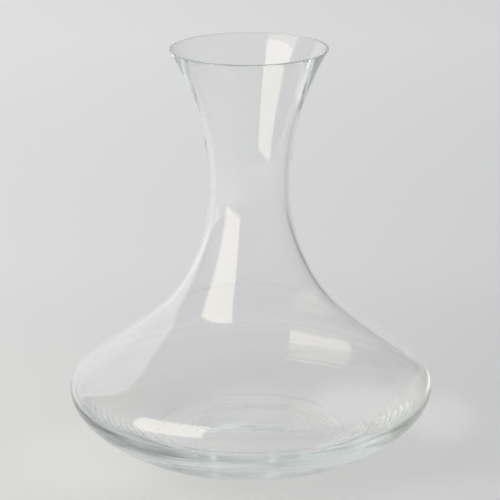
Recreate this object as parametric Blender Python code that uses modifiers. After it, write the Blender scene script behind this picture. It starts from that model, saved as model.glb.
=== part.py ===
"""Wine decanter: one piece of clear blown glass.

The vessel is turned. Its outline starts in the middle of the inside floor, climbs the inner wall, goes
over the rounded lip, comes down the outer wall and ends in the middle of the push-up under the foot.
Lengths are in metres. The origin is in the middle of the foot, on the surface it stands on.
"""

import math

import bpy
from mathutils import Vector
from mathutils.geometry import interpolate_bezier

# Lip and mouth
TOTAL_HEIGHT = 0.246
MOUTH_RADIUS = 0.0462
MOUTH_LEAN = math.radians(31)

# Waist, the narrowest ring of the neck
WAIST_RADIUS = 0.0238
WAIST_HEIGHT = 0.165

# Shoulder, where the hollow curve of the neck turns into the round curve of the bowl
SHOULDER_RADIUS = 0.0540
SHOULDER_HEIGHT = 0.0890
SHOULDER_LEAN = math.radians(50)

# Bowl, at its widest ring
BOWL_RADIUS = 0.108
BOWL_HEIGHT = 0.0422

# Foot: the flat ring that it stands on, the rounding outside it and the push-up inside it
FOOT_RADIUS = 0.0535
FOOT_RING_WIDTH = 0.0025
FOOT_ROUNDING = 0.0080
FOOT_CLIMB = math.radians(18)
PUSH_UP_HEIGHT = 0.0045

# Inside floor: the flat of it, and the fillet between it and the inner wall
FLOOR_RADIUS = 0.0510
FLOOR_FILLET = 0.0350
FLOOR_CLIMB = math.radians(18)

# Thickness of the glass: square to the outer wall, and over the middle of the push-up
LIP_WALL = 0.0010
WAIST_WALL = 0.0032
SHOULDER_WALL = 0.0026
BOWL_WALL = 0.0026
CENTRE_WALL = 0.0087

# How long each curve keeps to the directions at its two ends, as shares of the distance between them
MOUTH_PULLS = (0.14, 0.48)
NECK_PULLS = (0.46, 0.18)
SHOULDER_PULLS = (0.70, 0.16)
BOWL_PULLS = (0.31, 0.27)
INNER_BOWL_PULLS = (0.31, 0.29)
PUSH_UP_PULLS = (0.45, 0.45)

# Fineness of the turned surface
TURN_STEPS = 56
WALL_POINTS = 8
PUSH_UP_POINTS = 7
LIP_POINTS = 3
ROUNDING_POINTS = 3
MERGE_DISTANCE = 0.00001

GLASS_COLOUR = (0.93, 0.97, 0.96, 1.0)
GLASS_ROUGHNESS = 0.02
GLASS_INDEX = 1.52

DOWN = Vector((0, 0, -1))
INWARD = Vector((-1, 0, 0))


def ring(radius, height):
    """Point of the outline at this radius and height."""
    return Vector((radius, 0, height))


def falling(lean):
    """Direction down a wall that leans away from the axis by this angle on its way down."""
    return Vector((math.sin(lean), 0, -math.cos(lean)))


def outward(direction):
    """Direction out of the glass, square to an outer wall that runs down along this direction."""
    return Vector((-direction.z, 0, direction.x))


def curve(start, start_direction, end, end_direction, pulls, count):
    """Points of a curve that leaves and reaches two rings along the given directions."""
    distance = (end - start).length
    first_handle = start + start_direction * distance * pulls[0]
    last_handle = end - end_direction * distance * pulls[1]
    return interpolate_bezier(start, first_handle, last_handle, end, count)


def arc(centre, radius, first_angle, last_angle, count):
    """Points of a circular arc, with its angles measured up from the outward direction."""
    points = []
    for index in range(count):
        angle = first_angle + (last_angle - first_angle) * index / (count - 1)
        points.append(centre + ring(radius * math.cos(angle), radius * math.sin(angle)))
    return points


def inset(points, start_direction, end_direction, start_wall, end_wall, from_lip):
    """Inner side of a stretch of outer wall, whose glass goes smoothly from one thickness to another.

    Below the lip the glass thickens at once. Elsewhere each stretch starts and ends level.
    """
    inner = []
    last = len(points) - 1
    for index, point in enumerate(points):
        if index == 0:
            direction = start_direction
        elif index == last:
            direction = end_direction
        else:
            direction = (points[index + 1] - points[index - 1]).normalized()
        share = index / last
        ease = math.sin(math.pi / 2 * share) if from_lip else 0.5 - 0.5 * math.cos(math.pi * share)
        wall = start_wall + (end_wall - start_wall) * ease
        inner.append(point - outward(direction) * wall)
    return inner


def joined(stretches):
    """One run of points from stretches that share their end points."""
    points = list(stretches[0])
    for stretch in stretches[1:]:
        points.extend(stretch[1:])
    return points


def vessel_outline():
    """Outline of the glass from the inside floor, over the lip, to the push-up."""
    at_mouth = falling(-MOUTH_LEAN)
    at_shoulder = falling(SHOULDER_LEAN)
    at_foot = falling(FOOT_CLIMB - math.pi / 2)
    at_floor = falling(FLOOR_CLIMB - math.pi / 2)

    lip_radius = LIP_WALL / 2
    lip_centre = ring(MOUTH_RADIUS - lip_radius, TOTAL_HEIGHT - lip_radius)
    lip = joined([
        arc(lip_centre, lip_radius, math.pi - MOUTH_LEAN, math.pi / 2, LIP_POINTS),
        arc(lip_centre, lip_radius, math.pi / 2, -MOUTH_LEAN, LIP_POINTS),
    ])

    mouth = lip_centre + outward(at_mouth) * lip_radius
    waist = ring(WAIST_RADIUS, WAIST_HEIGHT)
    shoulder = ring(SHOULDER_RADIUS, SHOULDER_HEIGHT)
    bowl = ring(BOWL_RADIUS, BOWL_HEIGHT)
    stations = (
        (mouth, at_mouth, LIP_WALL, MOUTH_PULLS),
        (waist, DOWN, WAIST_WALL, NECK_PULLS),
        (shoulder, at_shoulder, SHOULDER_WALL, SHOULDER_PULLS),
        (bowl, DOWN, BOWL_WALL, None),
    )
    outer_wall = []
    inner_wall = []
    for upper, lower in zip(stations, stations[1:]):
        start, start_direction, start_wall, pulls = upper
        end, end_direction, end_wall, _ = lower
        points = curve(start, start_direction, end, end_direction, pulls, WALL_POINTS)
        outer_wall.append(points)
        inner_wall.append(
            inset(points, start_direction, end_direction, start_wall, end_wall, start is mouth))

    rounding = arc(ring(FOOT_RADIUS, FOOT_ROUNDING), FOOT_ROUNDING,
                   FOOT_CLIMB - math.pi / 2, -math.pi / 2, ROUNDING_POINTS)
    ring_edge = ring(FOOT_RADIUS - FOOT_RING_WIDTH, 0)
    push_up = curve(ring_edge, INWARD, ring(0, PUSH_UP_HEIGHT), INWARD, PUSH_UP_PULLS, PUSH_UP_POINTS)
    outer_wall.append(curve(bowl, DOWN, rounding[0], at_foot, BOWL_PULLS, WALL_POINTS))

    floor_height = PUSH_UP_HEIGHT + CENTRE_WALL
    inner_bowl = ring(BOWL_RADIUS - BOWL_WALL, BOWL_HEIGHT)
    fillet = arc(ring(FLOOR_RADIUS, floor_height + FLOOR_FILLET), FLOOR_FILLET,
                 FLOOR_CLIMB - math.pi / 2, -math.pi / 2, ROUNDING_POINTS)
    floor = [fillet[-1], ring(0, floor_height)]
    inner_wall.append(curve(inner_bowl, DOWN, fillet[0], at_floor, INNER_BOWL_PULLS, WALL_POINTS))

    inside = list(reversed(joined(inner_wall + [fillet, floor])))
    outside = joined(outer_wall + [rounding, [rounding[-1], ring_edge], push_up])
    return joined([inside, lip, outside])


def glass_material():
    """Clear glass with a faint green tint."""
    material = bpy.data.materials.new("clear_glass")
    material.use_nodes = True
    shader = material.node_tree.nodes["Principled BSDF"]
    shader.inputs["Base Color"].default_value = GLASS_COLOUR
    shader.inputs["Metallic"].default_value = 0.0
    shader.inputs["Roughness"].default_value = GLASS_ROUGHNESS
    shader.inputs["IOR"].default_value = GLASS_INDEX
    shader.inputs["Transmission Weight"].default_value = 1.0
    return material


def turned(name, outline, material):
    """Solid of revolution about the Z axis, from an outline that starts and ends on the axis."""
    edges = [(index, index + 1) for index in range(len(outline) - 1)]
    mesh = bpy.data.meshes.new(name)
    mesh.from_pydata(outline, edges, [])
    mesh.materials.append(material)
    solid = bpy.data.objects.new(name, mesh)
    screw = solid.modifiers.new("Turn", "SCREW")
    screw.axis = "Z"
    screw.angle = 2 * math.pi
    screw.steps = TURN_STEPS
    screw.render_steps = TURN_STEPS
    screw.use_merge_vertices = True
    screw.merge_threshold = MERGE_DISTANCE
    screw.use_smooth_shade = True
    return solid


def main():
    for item in list(bpy.data.objects):
        bpy.data.objects.remove(item, do_unlink=True)
    parts = bpy.data.collections.new("decanter")
    bpy.context.scene.collection.children.link(parts)
    parts.objects.link(turned("glass_vessel", vessel_outline(), glass_material()))


main()
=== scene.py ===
"""Wine decanter of clear blown glass, on a pale studio sweep lit by one large softbox."""

import math

import bpy
from mathutils import Euler, Matrix, Vector
from mathutils.geometry import interpolate_bezier


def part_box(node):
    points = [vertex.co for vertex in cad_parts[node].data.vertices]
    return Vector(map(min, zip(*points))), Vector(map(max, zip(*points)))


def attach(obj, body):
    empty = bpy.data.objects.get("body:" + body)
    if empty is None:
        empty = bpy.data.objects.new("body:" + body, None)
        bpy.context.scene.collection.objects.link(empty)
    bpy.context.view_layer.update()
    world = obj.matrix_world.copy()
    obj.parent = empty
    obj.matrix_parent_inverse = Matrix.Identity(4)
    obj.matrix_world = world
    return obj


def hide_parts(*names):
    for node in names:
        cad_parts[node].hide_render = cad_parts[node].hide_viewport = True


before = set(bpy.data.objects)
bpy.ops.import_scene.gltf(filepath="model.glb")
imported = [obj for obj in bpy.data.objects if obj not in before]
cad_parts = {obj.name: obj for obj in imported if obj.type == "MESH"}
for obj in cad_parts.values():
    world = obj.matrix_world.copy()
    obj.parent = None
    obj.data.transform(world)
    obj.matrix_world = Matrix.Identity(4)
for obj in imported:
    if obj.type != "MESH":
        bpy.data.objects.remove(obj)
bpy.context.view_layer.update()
_, VESSEL_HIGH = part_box("glass_vessel")

# Lip and mouth, in metres
TOTAL_HEIGHT = VESSEL_HIGH[2]
MOUTH_RADIUS = 0.0462
MOUTH_LEAN = math.radians(31)

# Waist, shoulder and the widest ring of the bowl
WAIST_RADIUS = 0.0238
WAIST_HEIGHT = 0.165
SHOULDER_RADIUS = 0.0540
SHOULDER_HEIGHT = 0.0890
SHOULDER_LEAN = math.radians(50)
BOWL_RADIUS = VESSEL_HIGH[0]
BOWL_HEIGHT = 0.0422

# Foot ring and the push-up inside it
FOOT_RADIUS = 0.0535
FOOT_RING_WIDTH = 0.0025
FOOT_ROUNDING = 0.0080
FOOT_CLIMB = math.radians(18)
PUSH_UP_HEIGHT = 0.0045

# Flat floor inside, and the fillet from it to the inner wall
FLOOR_HEIGHT = 0.0132
FLOOR_RADIUS = 0.0510
FLOOR_FILLET = 0.0350
FLOOR_CLIMB = math.radians(18)

# Thickness of the glass
LIP_WALL = 0.0008
WAIST_WALL = 0.0032
SHOULDER_WALL = 0.0026
BOWL_WALL = 0.0026

# How long each curve of the outline keeps to the directions at its ends
MOUTH_PULLS = (0.14, 0.48)
NECK_PULLS = (0.46, 0.18)
SHOULDER_PULLS = (0.70, 0.16)
BOWL_PULLS = (0.31, 0.27)
INNER_BOWL_PULLS = (0.31, 0.29)
PUSH_UP_PULLS = (0.45, 0.45)

# Groove round the edge of the inside floor, and ripples round the outside of the lower wall
GROOVE_RADIUS = 0.0565
GROOVE_WIDTH = 0.0010
GROOVE_DEPTH = 0.00080
RIPPLE_STEP = 0.0065
RIPPLE_DEPTH = 0.000020

# Uneven waves of the blown glass. Outside they show between the same two heights as the ripples. Inside
# they are faint in the basin, grow to their full depth above it and fade out below the lip. Low down
# they set in between the radius of the clear floor and that of the waved one.
WAVE_DEPTH = 0.00010
WAVE_SIZE = 0.014
LOWER_WAVE_SHARE = 0.3
BASIN_WAVE_SHARE = 0.06
BASIN_TOP = (0.042, 0.060)
INNER_WAVE_TOP = (0.225, 0.240)
MARKS_LOW = 0.001
MARKS_HIGH = 0.030
CLEAR_FLOOR = 0.050
WAVED_FLOOR = 0.060

# Ripples too fine for the mesh, round the outside of the lower wall, deeper at its left and deepest at its
# right: their step, depth and unevenness, and where they set in, by radius, height, front, back and side.
# The middle of the wall, which climbs with the radius, keeps them off the inside.
FINE_STEP = 0.0036
FINE_DEPTH = 0.000080
FINE_NOISE = 120
FINE_UNEVENNESS = 2.5
FINE_SHARE_ROUND = 0.30
FINE_SHARE_LEFT = 0.2
FINE_RADIUS = (0.056, 0.064)
FINE_TOP = (0.034, 0.024)
FINE_FRONT = (-0.050, -0.030)
FINE_BACK = (0.020, 0.004)
FINE_RIGHT = (0.055, 0.068)
FINE_LEFT = (-0.055, -0.068)
MIDDLE_CLIMB = 0.42
MIDDLE_DROP = (-0.0165, -0.0180)

# Fineness of the blown surface, and the speck that its outline is drawn from
START_SIZE = 0.001
WALL_POINTS = 28
LOWER_WALL_POINTS = 90
FILLET_POINTS = 40
FLOOR_POINTS = 12
PUSH_UP_POINTS = 24
LIP_POINTS = 6
ROUNDING_POINTS = 6
SPIN_STEPS = 216
WELD_DISTANCE = 0.000002

# Camera, fitted to the outline in the photograph
CAMERA_DISTANCE = 1.558
CAMERA_ELEVATION = math.radians(16.3)
CAMERA_ROLL = math.radians(-0.326)
CAMERA_FOCUS = Vector((-0.0001, 0, 0.1245))
FOCAL_PIXELS = 2638.3
FRAME_PIXELS = 500
SENSOR_WIDTH = 36.0
CAMERA_REACH = 20

# Softbox and room
SOFTBOX_CENTRE = Vector((-0.675, -0.417, 0.524))
SOFTBOX_BEARING = math.radians(41)
SOFTBOX_TILT = math.radians(19)
SOFTBOX_ROLL = math.radians(11)
SOFTBOX_SIZE = (0.728, 0.982)
SOFTBOX_POWER = 5.7
SOFTBOX_COLOUR = (1.0, 0.93, 0.77)
ROOM_GREY = 0.35

# Paper sweep: its finish, its edges, the height of the backdrop and the cove below that
SWEEP_GREY = 0.60
PAPER_ROUGHNESS = 0.9
SWEEP_LEFT = -2.35
SWEEP_RIGHT = 0.70
SWEEP_FRONT = -1.2
SWEEP_BACK = 1.9
SWEEP_RISE = 3.6
SWEEP_COVE = 0.5
COVE_SEGMENTS = 16
EDGE_MARGIN = 0.01

# Glow of the paper for the rays that see it: its level and colour from near to far, a step behind the
# decanter, its slope from left to right, its drop high on the backdrop, and a painted shadow of the
# decanter on the paper at its right, where the glow drops
GLOW_NEAR_Y = -0.20
GLOW_FAR_Y = 1.20
GLOW_NEAR = 0.279
GLOW_FAR = 0.461
GLOW_NEAR_COLOUR = (0.965, 1.0, 1.07, 1.0)
GLOW_FAR_COLOUR = (0.99, 1.0, 1.01, 1.0)
GLOW_STEP_Y = (0.22, 0.42)
GLOW_STEP = 0.028
GLOW_SIDE_SLOPE = -0.14
GLOW_HIGH_Z = (0.55, 1.10)
GLOW_HIGH_X = (-1.80, -0.90)
GLOW_HIGH_DROP = -0.20
PAINTED_SHADOW_LEAN = -0.10
PAINTED_SHADOW_X = (0.15, 0.27)
PAINTED_SHADOW_DROP = -0.03

# Soft pools of light on the paper as (centre, size, strength, colour), and the shares of their size
# between which they come up. The first lies beyond the picture and brightens the right edge of the bowl.
POOL_FADE = (1.0, 0.3)
POOLS = (
    ((0.225, 0.235, 0.0), (0.055, 0.12, 1.0), 0.9, (1.0, 0.97, 0.80, 1.0)),
    ((0.066, 0.055, 0.0), (0.043, 0.055, 1.0), 0.11, (1.0, 1.0, 0.98, 1.0)),
    ((0.000, 0.075, 0.0), (0.045, 0.030, 1.0), 0.04, (1.0, 1.0, 1.0, 1.0)),
    ((0.118, 0.055, 0.0), (0.032, 0.065, 1.0), 0.06, (1.0, 1.0, 0.98, 1.0)),
    ((-0.090, -0.010, 0.0), (0.065, 0.090, 1.0), 0.045, (1.0, 1.0, 1.0, 1.0)),
    ((0.120, -0.085, 0.0), (0.090, 0.050, 1.0), 0.025, (1.0, 1.0, 1.0, 1.0)),
)

# Glass: how it bends and tints light, how much lamp light and stray light it lets through to the paper,
# how often light bounces in it, and the slight roughness of its lip, by depth below the top
GLASS_INDEX = 1.52
TINT_COLOUR = (0.57, 0.86, 0.79, 1.0)
TINT_DENSITY = 1.1
LAMP_LIGHT_LEFT = 0.87
STRAY_LIGHT_LEFT = 0.97
STRAY_LIGHT_SHARE = 0.8
GLASS_BOUNCES = 64
LIP_ROUGHNESS = 0.50
LIP_ROUGH_DEPTH = (0.00060, 0.00040)

DOWN = Vector((0, 0, -1))
INWARD = Vector((-1, 0, 0))


def ring(radius, height):
    """Point of the outline at this radius and height."""
    return Vector((radius, 0, height))


def falling(lean):
    """Direction down a wall that leans away from the axis by this angle on its way down."""
    return Vector((math.sin(lean), 0, -math.cos(lean)))


def outward(direction):
    """Direction out of the glass, square to an outer wall that runs down along this direction."""
    return Vector((-direction.z, 0, direction.x))


def curve(start, start_direction, end, end_direction, pulls, count):
    """Points of a curve that leaves and reaches two rings along the given directions."""
    span = (end - start).length
    first_handle = start + start_direction * span * pulls[0]
    last_handle = end - end_direction * span * pulls[1]
    return interpolate_bezier(start, first_handle, last_handle, end, count)


def arc(centre, radius, first_angle, last_angle, count):
    """Points of a circular arc, with its angles measured up from the outward direction."""
    points = []
    for index in range(count):
        angle = first_angle + (last_angle - first_angle) * index / (count - 1)
        points.append(centre + ring(radius * math.cos(angle), radius * math.sin(angle)))
    return points


def inset(points, start_direction, end_direction, start_wall, end_wall, from_lip):
    """Inner side of a stretch of outer wall, whose glass thickens at once below the lip, else gently."""
    inner = []
    last = len(points) - 1
    for index, point in enumerate(points):
        if index == 0:
            direction = start_direction
        elif index == last:
            direction = end_direction
        else:
            direction = (points[index + 1] - points[index - 1]).normalized()
        share = index / last
        ease = math.sin(math.pi / 2 * share) if from_lip else 0.5 - 0.5 * math.cos(math.pi * share)
        inner.append(point - outward(direction) * (start_wall + (end_wall - start_wall) * ease))
    return inner


def joined(stretches):
    """One run of points from stretches that share their end points."""
    points = list(stretches[0])
    for stretch in stretches[1:]:
        points.extend(stretch[1:])
    return points


def between(value, low, high):
    """Share of the way from low to high."""
    return min(max((value - low) / (high - low), 0), 1)


def marks_share(height):
    """How strongly the marks of the making show at this height outside: not at all at either end."""
    return math.sin(math.pi * between(height, MARKS_LOW, MARKS_HIGH)) ** 0.5


def rippled(points):
    """The outer lower wall with ripples that run round it."""
    waved = []
    for point in points:
        rise = RIPPLE_DEPTH * math.sin(2 * math.pi * point.x / RIPPLE_STEP)
        waved.append(point + ring(0, rise * marks_share(point.z)))
    return waved


def grooved(points):
    """The basin with the groove round its floor."""
    lowered = []
    for point in points:
        drop = GROOVE_DEPTH * math.exp(-((point.x - GROOVE_RADIUS) / GROOVE_WIDTH) ** 2)
        lowered.append(point - ring(0, drop))
    return lowered


def vessel_outline():
    """Outline of the glass from the inside floor, over the lip, to the push-up."""
    lip_radius = LIP_WALL / 2
    lip_centre = ring(MOUTH_RADIUS - lip_radius, TOTAL_HEIGHT - lip_radius)
    at_mouth = falling(-MOUTH_LEAN)
    at_shoulder = falling(SHOULDER_LEAN)
    at_foot = falling(FOOT_CLIMB - math.pi / 2)
    at_floor = falling(FLOOR_CLIMB - math.pi / 2)
    bowl = ring(BOWL_RADIUS, BOWL_HEIGHT)
    inner_bowl = ring(BOWL_RADIUS - BOWL_WALL, BOWL_HEIGHT)
    stations = (
        (lip_centre + outward(at_mouth) * lip_radius, at_mouth, LIP_WALL, MOUTH_PULLS),
        (ring(WAIST_RADIUS, WAIST_HEIGHT), DOWN, WAIST_WALL, NECK_PULLS),
        (ring(SHOULDER_RADIUS, SHOULDER_HEIGHT), at_shoulder, SHOULDER_WALL, SHOULDER_PULLS),
        (bowl, DOWN, BOWL_WALL, None),
    )
    outer_wall = []
    inner_wall = []
    for upper, lower in zip(stations, stations[1:]):
        start, start_direction, start_wall, pulls = upper
        end, end_direction, end_wall, _ = lower
        points = curve(start, start_direction, end, end_direction, pulls, WALL_POINTS)
        outer_wall.append(points)
        inner_wall.append(
            inset(points, start_direction, end_direction, start_wall, end_wall, upper is stations[0]))
    lip = joined([
        arc(lip_centre, lip_radius, math.pi - MOUTH_LEAN, math.pi / 2, LIP_POINTS),
        arc(lip_centre, lip_radius, math.pi / 2, -MOUTH_LEAN, LIP_POINTS),
    ])
    rounding = arc(ring(FOOT_RADIUS, FOOT_ROUNDING), FOOT_ROUNDING,
                   FOOT_CLIMB - math.pi / 2, -math.pi / 2, ROUNDING_POINTS)
    lower_wall = curve(bowl, DOWN, rounding[0], at_foot, BOWL_PULLS, LOWER_WALL_POINTS)
    ring_edge = ring(FOOT_RADIUS - FOOT_RING_WIDTH, 0)
    push_up = curve(ring_edge, INWARD, ring(0, PUSH_UP_HEIGHT), INWARD, PUSH_UP_PULLS, PUSH_UP_POINTS)
    fillet = arc(ring(FLOOR_RADIUS, FLOOR_HEIGHT + FLOOR_FILLET), FLOOR_FILLET,
                 FLOOR_CLIMB - math.pi / 2, -math.pi / 2, FILLET_POINTS)
    inner_lower_wall = curve(inner_bowl, DOWN, fillet[0], at_floor, INNER_BOWL_PULLS, LOWER_WALL_POINTS)
    floor = [ring(FLOOR_RADIUS * step / FLOOR_POINTS, FLOOR_HEIGHT) for step in reversed(range(FLOOR_POINTS))]
    basin = grooved(joined([inner_lower_wall, fillet]) + floor)
    inside = list(reversed(joined(inner_wall + [basin])))
    outside = joined(outer_wall + [rippled(lower_wall), rounding, [rounding[-1], ring_edge], push_up])
    return joined([inside, lip, outside])


def blow_vessel():
    """Draw the outline by extruding one point along it, and spin it round the axis."""
    outline = vessel_outline()
    bpy.ops.object.select_all(action="DESELECT")
    bpy.ops.mesh.primitive_plane_add(size=START_SIZE, location=(0, 0, 0))
    vessel = bpy.context.object
    vessel.name = "blown_vessel"
    bpy.ops.object.mode_set(mode="EDIT")
    bpy.ops.mesh.select_mode(type="VERT")
    bpy.ops.mesh.select_all(action="SELECT")
    bpy.ops.mesh.merge(type="CENTER")
    bpy.ops.transform.translate(value=outline[0])
    for start, end in zip(outline, outline[1:]):
        bpy.ops.mesh.extrude_region_move(TRANSFORM_OT_translate={"value": end - start})
    bpy.ops.mesh.select_all(action="SELECT")
    bpy.ops.mesh.spin(steps=SPIN_STEPS, angle=2 * math.pi, center=(0, 0, 0), axis=(0, 0, 1))
    bpy.ops.mesh.select_all(action="SELECT")
    bpy.ops.mesh.remove_doubles(threshold=WELD_DISTANCE)
    bpy.ops.mesh.normals_make_consistent(inside=False)
    bpy.ops.object.mode_set(mode="OBJECT")
    bpy.ops.object.shade_smooth()
    wave(vessel)
    return vessel


def wave(vessel):
    """Make the glass of the lower walls and of the inside slightly uneven, as blowing leaves it."""
    group = vessel.vertex_groups.new(name="uneven_walls")
    for vertex in vessel.data.vertices:
        place = vertex.co
        if vertex.normal.x * place.x + vertex.normal.y * place.y < 0:
            share = between(place.z, *BASIN_TOP) * (1 - BASIN_WAVE_SHARE) + BASIN_WAVE_SHARE
            share *= 1 - between(place.z, *INNER_WAVE_TOP)
        else:
            share = LOWER_WAVE_SHARE * marks_share(place.z)
        if place.z < MARKS_HIGH:
            share *= between(math.hypot(place.x, place.y), CLEAR_FLOOR, WAVED_FLOOR)
        if share > 0:
            group.add([vertex.index], share, "REPLACE")
    texture = bpy.data.textures.new("blown_waves", "CLOUDS")
    texture.noise_scale = WAVE_SIZE
    texture.noise_depth = 1
    waves = vessel.modifiers.new("waves", "DISPLACE")
    waves.texture = texture
    waves.texture_coords = "LOCAL"
    waves.strength = WAVE_DEPTH
    waves.mid_level = 0.5
    waves.vertex_group = group.name
    bpy.ops.object.modifier_apply(modifier=waves.name)
    vessel.vertex_groups.clear()


def maths(tree, operation, *values):
    """Maths node whose inputs are sockets or numbers; gives its output."""
    node = tree.nodes.new("ShaderNodeMath")
    node.operation = operation
    for socket, value in zip(node.inputs, values):
        if isinstance(value, (int, float)):
            socket.default_value = value
        else:
            tree.links.new(value, socket)
    return node.outputs[0]


def ramp(tree, value, low, high, kind="SMOOTHSTEP"):
    """Ramp from 0 at low to 1 at high."""
    node = tree.nodes.new("ShaderNodeMapRange")
    node.interpolation_type = kind
    node.inputs["From Min"].default_value = low
    node.inputs["From Max"].default_value = high
    tree.links.new(value, node.inputs["Value"])
    return node.outputs[0]


def noise(tree, place, scale):
    """Soft noise of this scale; gives its level."""
    node = tree.nodes.new("ShaderNodeTexNoise")
    node.inputs["Scale"].default_value = scale
    node.inputs["Detail"].default_value = 1
    tree.links.new(place, node.inputs["Vector"])
    return node.outputs[0]


def distance(tree, place, centre, size):
    """Distance from a centre, in shares of a size along each axis."""
    from_centre = tree.nodes.new("ShaderNodeVectorMath")
    from_centre.operation = "SUBTRACT"
    from_centre.inputs[1].default_value = centre
    tree.links.new(place, from_centre.inputs[0])
    in_sizes = tree.nodes.new("ShaderNodeVectorMath")
    in_sizes.operation = "DIVIDE"
    in_sizes.inputs[1].default_value = size
    tree.links.new(from_centre.outputs[0], in_sizes.inputs[0])
    length = tree.nodes.new("ShaderNodeVectorMath")
    length.operation = "LENGTH"
    tree.links.new(in_sizes.outputs[0], length.inputs[0])
    return length.outputs["Value"]


def object_place(tree):
    """Object coordinates, whole and by axis."""
    place = tree.nodes.new("ShaderNodeTexCoord").outputs["Object"]
    axes = tree.nodes.new("ShaderNodeSeparateXYZ")
    tree.links.new(place, axes.inputs[0])
    return place, axes.outputs["X"], axes.outputs["Y"], axes.outputs["Z"]


def fine_ripples(tree):
    """Bump with the finest ripples of the blowing; gives its normal."""
    place, x, y, z = object_place(tree)
    radius = maths(tree, "SQRT", maths(tree, "MULTIPLY_ADD", x, x, maths(tree, "MULTIPLY", y, y)))
    turns = maths(tree, "MULTIPLY", radius, 2 * math.pi / FINE_STEP)
    phase = maths(tree, "MULTIPLY_ADD", noise(tree, place, FINE_NOISE), FINE_UNEVENNESS, turns)
    ripples = maths(tree, "MULTIPLY", maths(tree, "SINE", phase), FINE_DEPTH)
    low = maths(tree, "MULTIPLY", ramp(tree, radius, *FINE_RADIUS), ramp(tree, z, *FINE_TOP))
    below_middle = maths(tree, "MULTIPLY_ADD", radius, -MIDDLE_CLIMB, z)
    outside = maths(tree, "MULTIPLY", low, ramp(tree, below_middle, *MIDDLE_DROP))
    side = maths(tree, "MULTIPLY", ramp(tree, y, *FINE_FRONT), ramp(tree, y, *FINE_BACK))
    right = maths(tree, "MULTIPLY", side, ramp(tree, x, *FINE_RIGHT))
    left = maths(tree, "MULTIPLY", side, ramp(tree, x, *FINE_LEFT))
    share = maths(tree, "MULTIPLY_ADD", left, FINE_SHARE_LEFT, maths(tree, "ADD", right, FINE_SHARE_ROUND))
    bump = tree.nodes.new("ShaderNodeBump")
    bump.inputs["Distance"].default_value = 1.0
    height = maths(tree, "MULTIPLY", ripples, maths(tree, "MULTIPLY", share, outside))
    tree.links.new(height, bump.inputs["Height"])
    return bump.outputs["Normal"]


def clear_glass():
    """Clear glass with a faint green tint, which lets lamp light and most stray light straight through."""
    material = bpy.data.materials.new("clear_blown_glass")
    material.use_nodes = True
    tree = material.node_tree
    shader = tree.nodes["Principled BSDF"]
    shader.inputs["Base Color"].default_value = (1.0, 1.0, 1.0, 1.0)
    shader.inputs["Metallic"].default_value = 0.0
    shader.inputs["IOR"].default_value = GLASS_INDEX
    shader.inputs["Transmission Weight"].default_value = 1.0
    tree.links.new(fine_ripples(tree), shader.inputs["Normal"])
    _, _, _, height = object_place(tree)
    at_lip = ramp(tree, height, *(TOTAL_HEIGHT - depth for depth in LIP_ROUGH_DEPTH))
    tree.links.new(maths(tree, "MULTIPLY", at_lip, LIP_ROUGHNESS), shader.inputs["Roughness"])
    through = tree.nodes.new("ShaderNodeBsdfTransparent")
    rays = tree.nodes.new("ShaderNodeLightPath").outputs
    left = maths(tree, "MULTIPLY_ADD",
                 rays["Is Shadow Ray"], LAMP_LIGHT_LEFT - STRAY_LIGHT_LEFT, STRAY_LIGHT_LEFT)
    tree.links.new(left, through.inputs["Color"])
    mix = tree.nodes.new("ShaderNodeMixShader")
    lets_through = maths(tree, "MULTIPLY_ADD",
                         rays["Is Diffuse Ray"], STRAY_LIGHT_SHARE, rays["Is Shadow Ray"])
    tree.links.new(lets_through, mix.inputs[0])
    tree.links.new(shader.outputs[0], mix.inputs[1])
    tree.links.new(through.outputs[0], mix.inputs[2])
    tint = tree.nodes.new("ShaderNodeVolumeAbsorption")
    tint.inputs["Color"].default_value = TINT_COLOUR
    tint.inputs["Density"].default_value = TINT_DENSITY
    output = tree.nodes["Material Output"]
    tree.links.new(mix.outputs[0], output.inputs["Surface"])
    tree.links.new(tint.outputs[0], output.inputs["Volume"])
    return material


def studio_sweep():
    """Pale floor that curves up into a backdrop."""
    bpy.ops.object.select_all(action="DESELECT")
    bpy.ops.mesh.primitive_plane_add(size=1, location=(0, 0, 0))
    sweep = bpy.context.object
    sweep.name = "studio_sweep"
    bpy.ops.object.mode_set(mode="EDIT")
    bpy.ops.mesh.select_all(action="SELECT")
    bpy.ops.transform.resize(value=(SWEEP_RIGHT - SWEEP_LEFT, SWEEP_BACK - SWEEP_FRONT, 1))
    bpy.ops.transform.translate(value=((SWEEP_RIGHT + SWEEP_LEFT) / 2, (SWEEP_BACK + SWEEP_FRONT) / 2, 0))
    bpy.ops.object.mode_set(mode="OBJECT")
    for edge in sweep.data.edges:
        ends = [sweep.data.vertices[index].co.y for index in edge.vertices]
        edge.select = min(ends) > SWEEP_BACK - EDGE_MARGIN
    for vertex in sweep.data.vertices:
        vertex.select = vertex.co.y > SWEEP_BACK - EDGE_MARGIN
    for face in sweep.data.polygons:
        face.select = False
    bpy.ops.object.mode_set(mode="EDIT")
    bpy.ops.mesh.select_mode(type="EDGE")
    bpy.ops.mesh.extrude_region_move(TRANSFORM_OT_translate={"value": (0, 0, SWEEP_RISE)})
    bpy.ops.mesh.select_all(action="DESELECT")
    bpy.ops.object.mode_set(mode="OBJECT")
    for edge in sweep.data.edges:
        ends = [sweep.data.vertices[index].co for index in edge.vertices]
        edge.select = all(end.y > SWEEP_BACK - EDGE_MARGIN and end.z < EDGE_MARGIN for end in ends)
    bpy.ops.object.mode_set(mode="EDIT")
    bpy.ops.mesh.bevel(offset=SWEEP_COVE, segments=COVE_SEGMENTS, affect="EDGES")
    bpy.ops.object.mode_set(mode="OBJECT")
    bpy.ops.object.shade_smooth()
    sweep.data.materials.append(pale_paper())


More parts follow.
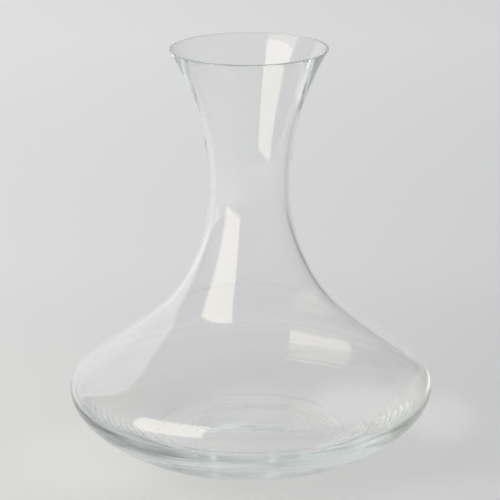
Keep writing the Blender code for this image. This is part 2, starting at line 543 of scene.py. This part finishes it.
def pale_paper():
    """Matt grey paper, with a soft glow for the rays that see it."""
    material = bpy.data.materials.new("pale_paper")
    material.use_nodes = True
    tree = material.node_tree
    paper = tree.nodes["Principled BSDF"]
    paper.inputs["Base Color"].default_value = (SWEEP_GREY, SWEEP_GREY, SWEEP_GREY, 1.0)
    paper.inputs["Roughness"].default_value = PAPER_ROUGHNESS
    paper.inputs["Specular IOR Level"].default_value = 0.0
    place, x, y, z = object_place(tree)
    depth = ramp(tree, y, GLOW_NEAR_Y, GLOW_FAR_Y, "LINEAR")
    level = maths(tree, "MULTIPLY_ADD", depth, GLOW_FAR - GLOW_NEAR, GLOW_NEAR)
    level = maths(tree, "MULTIPLY_ADD", ramp(tree, y, *GLOW_STEP_Y), GLOW_STEP, level)
    level = maths(tree, "MULTIPLY_ADD", x, GLOW_SIDE_SLOPE, level)
    high = maths(tree, "MULTIPLY", ramp(tree, z, *GLOW_HIGH_Z), ramp(tree, x, *GLOW_HIGH_X))
    level = maths(tree, "MULTIPLY_ADD", high, GLOW_HIGH_DROP, level)
    # Painted shadow of the decanter on the paper at its right: the glow drops there
    painted_shadow_across = maths(tree, "MULTIPLY_ADD", y, PAINTED_SHADOW_LEAN, x)
    level = maths(tree, "MULTIPLY_ADD", ramp(tree, painted_shadow_across, *PAINTED_SHADOW_X), PAINTED_SHADOW_DROP, level)
    rays = tree.nodes.new("ShaderNodeLightPath").outputs
    seen = maths(tree, "MAXIMUM", rays["Is Camera Ray"], rays["Is Glossy Ray"])
    seen = maths(tree, "MAXIMUM", seen, rays["Is Transmission Ray"])
    colour = tree.nodes.new("ShaderNodeMix")
    colour.data_type = "RGBA"
    colour.inputs["A"].default_value = GLOW_NEAR_COLOUR
    colour.inputs["B"].default_value = GLOW_FAR_COLOUR
    tree.links.new(depth, colour.inputs["Factor"])
    glow = tree.nodes.new("ShaderNodeEmission")
    tree.links.new(colour.outputs["Result"], glow.inputs["Color"])
    tree.links.new(maths(tree, "MULTIPLY", level, seen), glow.inputs["Strength"])
    lights = [glow]
    for centre, size, strength, pool_colour in POOLS:
        pool = tree.nodes.new("ShaderNodeEmission")
        pool.inputs["Color"].default_value = pool_colour
        near = ramp(tree, distance(tree, place, centre, size), *POOL_FADE)
        strength = maths(tree, "MULTIPLY", near, strength)
        tree.links.new(maths(tree, "MULTIPLY", strength, seen), pool.inputs["Strength"])
        lights.append(pool)
    surface = paper
    for light in lights:
        both = tree.nodes.new("ShaderNodeAddShader")
        tree.links.new(surface.outputs[0], both.inputs[0])
        tree.links.new(light.outputs[0], both.inputs[1])
        surface = both
    tree.links.new(surface.outputs[0], tree.nodes["Material Output"].inputs["Surface"])
    return material


def softbox():
    """Large soft light in front of the decanter, to its left."""
    lamp = bpy.data.lights.new("softbox", "AREA")
    lamp.shape = "RECTANGLE"
    lamp.size, lamp.size_y = SOFTBOX_SIZE
    lamp.energy = SOFTBOX_POWER
    lamp.color = SOFTBOX_COLOUR
    box = bpy.data.objects.new("softbox", lamp)
    bpy.context.scene.collection.objects.link(box)
    turn = Euler((math.pi / 2 - SOFTBOX_TILT, 0, -SOFTBOX_BEARING)).to_matrix().to_4x4()
    box.matrix_world = Matrix.Translation(SOFTBOX_CENTRE) @ turn @ Matrix.Rotation(SOFTBOX_ROLL, 4, "Z")


def room():
    """Plain grey room round the sweep."""
    world = bpy.data.worlds.new("studio_room")
    world.use_nodes = True
    background = world.node_tree.nodes["Background"]
    background.inputs["Color"].default_value = (ROOM_GREY, ROOM_GREY, ROOM_GREY, 1.0)
    bpy.context.scene.world = world


def light_bounces():
    """Let light run on inside the thick glass, which a few reflections would leave black."""
    cycles = bpy.context.scene.cycles
    cycles.max_bounces = GLASS_BOUNCES
    cycles.glossy_bounces = GLASS_BOUNCES
    cycles.transmission_bounces = GLASS_BOUNCES


def camera():
    """Camera in front of the decanter, looking slightly down and rolled by a trace."""
    eye = Vector((0, -math.cos(CAMERA_ELEVATION), math.sin(CAMERA_ELEVATION)))
    level_up = Vector((0, math.sin(CAMERA_ELEVATION), math.cos(CAMERA_ELEVATION)))
    level_right = Vector((1, 0, 0))
    right = level_right * math.cos(CAMERA_ROLL) + level_up * math.sin(CAMERA_ROLL)
    up = level_up * math.cos(CAMERA_ROLL) - level_right * math.sin(CAMERA_ROLL)
    lens = bpy.data.cameras.new("camera")
    lens.sensor_width = SENSOR_WIDTH
    lens.lens = FOCAL_PIXELS / FRAME_PIXELS * SENSOR_WIDTH
    lens.clip_end = CAMERA_REACH
    holder = bpy.data.objects.new("camera", lens)
    bpy.context.scene.collection.objects.link(holder)
    turn = Matrix((right, up, eye)).transposed().to_4x4()
    holder.matrix_world = Matrix.Translation(CAMERA_FOCUS + eye * CAMERA_DISTANCE) @ turn
    bpy.context.scene.camera = holder


vessel = blow_vessel()
vessel.data.materials.append(clear_glass())
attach(vessel, "root")
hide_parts("glass_vessel")
studio_sweep()
softbox()
room()
camera()
light_bounces()
bpy.context.scene.view_settings.view_transform = "Standard"
